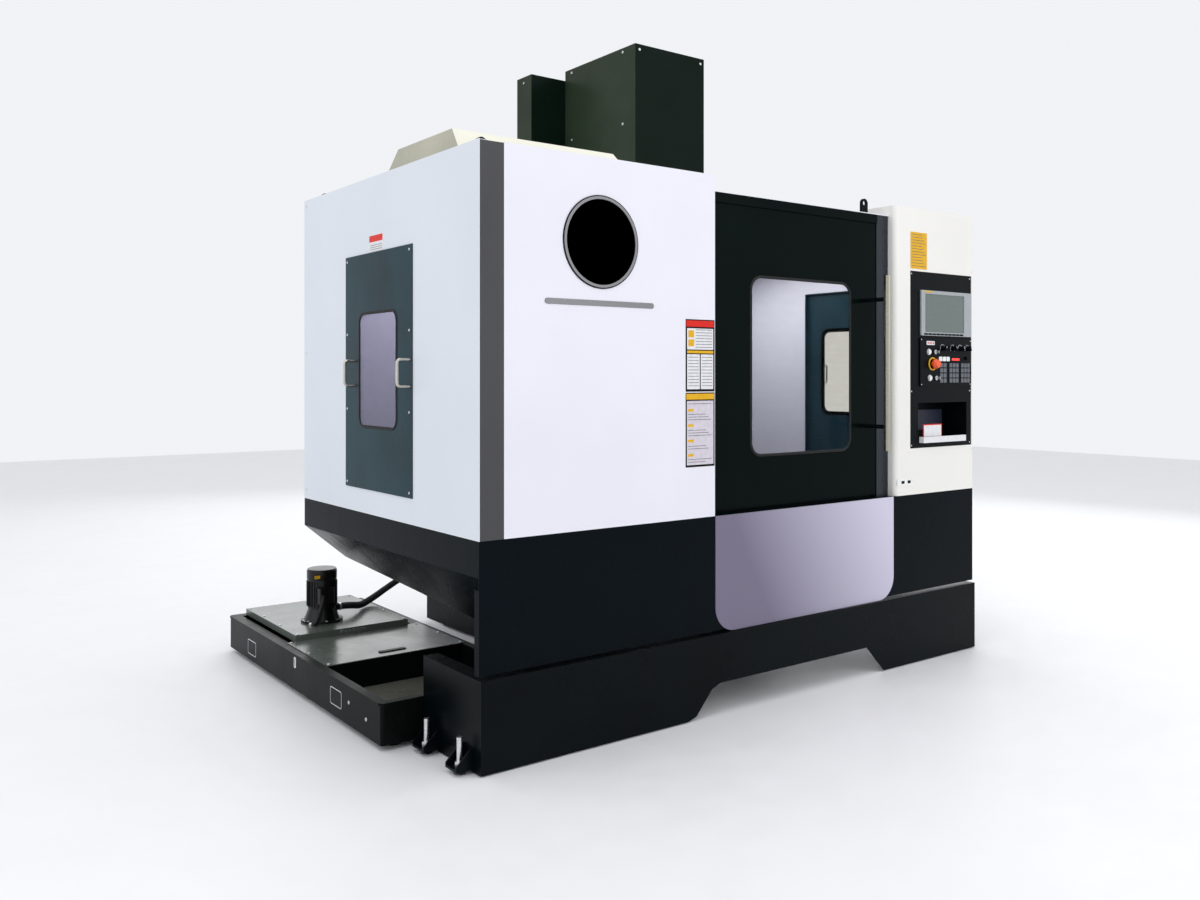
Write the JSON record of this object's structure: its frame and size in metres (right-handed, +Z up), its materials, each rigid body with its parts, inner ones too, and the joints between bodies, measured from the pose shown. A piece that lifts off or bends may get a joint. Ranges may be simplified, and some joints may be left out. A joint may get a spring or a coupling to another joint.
{
  "type": "cnc machining center",
  "caption": "Enclosed vertical milling machine with a sliding window door, lift-off side covers, operator box, moving table, spindle head and side coolant tank.",
  "frame": {"origin": "on the floor, under the middle of the machine's overall box", "axes": "+X to the operator's right along the front, +Y from the front to the back, +Z up"},
  "size_m": [2.951, 2.207, 2.764],
  "materials": {
    "cast_paint": "casting paint, satin",
    "white_coat": "white powder coat, fine texture",
    "warm_white_coat": "warm white powder coat",
    "charcoal_coat": "charcoal powder coat, matte",
    "dark_coat": "near-black textured powder coat",
    "cover_coat": "near-black green powder coat",
    "apron_satin": "satin lilac-grey metallic",
    "safety_glass": "clear laminated pane, slight tint",
    "bright_steel": "satin brushed steel",
    "ground_steel": "ground and hardened steel",
    "zinc_steel": "zinc-plated steel",
    "table_iron": "ground cast iron",
    "black_plastic": "black textured plastic",
    "grey_plastic": "silver-grey moulded bezel",
    "red_plastic": "orange-red gloss plastic",
    "white_plastic": "white gloss plastic",
    "motor_black": "black motor paint",
    "tank_paint": "dark grey-green satin paint",
    "lid_paint": "grey-green satin paint",
    "cabinet_coat": "white powder coat",
    "hose_rubber": "black ribbed rubber",
    "lamp_lens": "frosted lamp lens"
  },
  "bodies": {
    "frame": {"bed": "cast_paint", "column": "cast_paint", "magazine_frame": "cast_paint", "levelling_bolts": "zinc_steel", "base_plinth": "dark_coat", "lower_guards": "dark_coat", "chip_pans": "dark_coat", "apron_panel": "apron_satin", "front_left_panel": "white_coat", "corner_strip": "charcoal_coat", "left_side_panel": "white_coat", "right_side_panel": "white_coat", "rear_panel": "white_coat", "roof_panel": "white_coat", "roof_hatch": "warm_white_coat", "lifting_lugs": "dark_coat", "door_tracks": "dark_coat", "guide_rails": "ground_steel", "axis_motors": "motor_black", "control_box": "warm_white_coat", "control_fascia": "black_plastic", "display_unit": "grey_plastic", "operator_panel": "black_plastic", "electric_cabinet": "cabinet_coat", "coolant_tank": "tank_paint", "tank_lids": "lid_paint", "coolant_pump": "motor_black", "coolant_hose": "hose_rubber", "work_light": "lamp_lens"},
    "door": {"door_panel": "dark_coat", "door_window": "safety_glass", "door_handle": "bright_steel"},
    "left_cover": {"left_cover": "cover_coat", "left_window": "safety_glass", "left_cover_handles": "bright_steel"},
    "right_cover": {"right_cover": "cover_coat", "right_window": "safety_glass", "right_cover_handles": "bright_steel"},
    "saddle": {"saddle": "cast_paint", "x_motor": "motor_black"},
    "table": {"table": "table_iron"},
    "head": {"spindle_head": "cast_paint", "spindle_motor": "motor_black", "head_covers": "cover_coat"},
    "spindle": {"spindle": "ground_steel"},
    "x_screw": {"x_screw": "ground_steel"},
    "y_screw": {"y_screw": "ground_steel"},
    "z_screw": {"z_screw": "ground_steel"},
    "magazine": {"tool_magazine": "grey_plastic"},
    "change_arm": {"change_arm": "bright_steel"},
    "cabinet_door": {"cabinet_door": "cabinet_coat"},
    "estop": {"estop_button": "red_plastic"},
    "mode_knob": {"mode_knob": "black_plastic"},
    "feed_knob": {"feed_knob": "black_plastic"},
    "rapid_knob": {"rapid_knob": "black_plastic"},
    "spindle_knob": {"spindle_knob": "black_plastic"},
    "start_button": {"start_button": "white_plastic"},
    "hold_button": {"hold_button": "white_plastic"},
    "key_upper": {"key_switch_upper": "zinc_steel"},
    "key_lower": {"key_switch_lower": "zinc_steel"}
  },
  "joints": [
    {"name": "door_slide", "type": "slide", "parent": "frame", "child": "door", "axis": [1, 0, 0], "range_m": [-0.85, 0]},
    {"name": "left_cover_pull", "type": "slide", "parent": "frame", "child": "left_cover", "axis": [-1, 0, 0], "range_m": [0, 0.3]},
    {"name": "right_cover_pull", "type": "slide", "parent": "frame", "child": "right_cover", "axis": [1, 0, 0], "range_m": [0, 0.3]},
    {"name": "saddle_y", "type": "slide", "parent": "frame", "child": "saddle", "axis": [0, 1, 0], "range_m": [-0.25, 0.25]},
    {"name": "table_x", "type": "slide", "parent": "saddle", "child": "table", "axis": [1, 0, 0], "range_m": [-0.4, 0.4]},
    {"name": "head_z", "type": "slide", "parent": "frame", "child": "head", "axis": [0, 0, 1], "range_m": [-0.5, 0]},
    {"name": "spindle_spin", "type": "hinge", "parent": "head", "child": "spindle", "pos_m": [0.0495, -0.1965, 1.52], "axis": [0, 0, 1], "continuous": true},
    {"name": "x_screw_spin", "type": "hinge", "parent": "saddle", "child": "x_screw", "pos_m": [0.0495, -0.1965, 0.744], "axis": [1, 0, 0], "range_deg": [-14500, 14500]},
    {"name": "y_screw_spin", "type": "hinge", "parent": "frame", "child": "y_screw", "pos_m": [0.0495, -0.1965, 0.545], "axis": [0, 1, 0], "range_deg": [-9100, 9100]},
    {"name": "z_screw_spin", "type": "hinge", "parent": "frame", "child": "z_screw", "pos_m": [0.0495, 0.3935, 1.5], "axis": [0, 0, 1], "range_deg": [-18100, 100]},
    {"name": "magazine_spin", "type": "hinge", "parent": "frame", "child": "magazine", "pos_m": [-0.6105, -0.1965, 1.74], "axis": [1, 0, 0], "continuous": true},
    {"name": "arm_swing", "type": "hinge", "parent": "frame", "child": "change_arm", "pos_m": [-0.2705, -0.1965, 1.45], "axis": [0, 0, 1], "range_deg": [0, 90]},
    {"name": "cabinet_door_hinge", "type": "hinge", "parent": "frame", "child": "cabinet_door", "pos_m": [1.3955, 0.9655, 1.1], "axis": [0, 0, -1], "range_deg": [0, 110]},
    {"name": "estop_press", "type": "slide", "parent": "frame", "child": "estop", "axis": [0, 1, 0], "range_m": [0, 0.006], "stiffness_N_per_m": 1500},
    {"name": "mode_turn", "type": "hinge", "parent": "frame", "child": "mode_knob", "pos_m": [1.1685, -1.0065, 1.429], "axis": [0, 1, 0], "range_deg": [-120, 120]},
    {"name": "feed_turn", "type": "hinge", "parent": "frame", "child": "feed_knob", "pos_m": [1.2465, -1.0065, 1.429], "axis": [0, 1, 0], "range_deg": [-135, 135]},
    {"name": "rapid_turn", "type": "hinge", "parent": "frame", "child": "rapid_knob", "pos_m": [1.3055, -1.0065, 1.429], "axis": [0, 1, 0], "range_deg": [-60, 60]},
    {"name": "spindle_override_turn", "type": "hinge", "parent": "frame", "child": "spindle_knob", "pos_m": [1.3625, -1.0065, 1.429], "axis": [0, 1, 0], "range_deg": [-105, 105]},
    {"name": "start_press", "type": "slide", "parent": "frame", "child": "start_button", "axis": [0, 1, 0], "range_m": [0, 0.004], "stiffness_N_per_m": 400},
    {"name": "hold_press", "type": "slide", "parent": "frame", "child": "hold_button", "axis": [0, 1, 0], "range_m": [0, 0.004], "stiffness_N_per_m": 400},
    {"name": "key_upper_turn", "type": "hinge", "parent": "frame", "child": "key_upper", "pos_m": [1.1075, -1.0065, 1.411], "axis": [0, 1, 0], "range_deg": [0, 90]},
    {"name": "key_lower_turn", "type": "hinge", "parent": "frame", "child": "key_lower", "pos_m": [1.1145, -1.0065, 1.291], "axis": [0, 1, 0], "range_deg": [0, 90]}
  ],
  "couplings": [
    {"joint": "x_screw_spin", "follows": "table_x", "rad_per_m": 628.32},
    {"joint": "y_screw_spin", "follows": "saddle_y", "rad_per_m": 628.32},
    {"joint": "z_screw_spin", "follows": "head_z", "rad_per_m": 628.32}
  ]
}
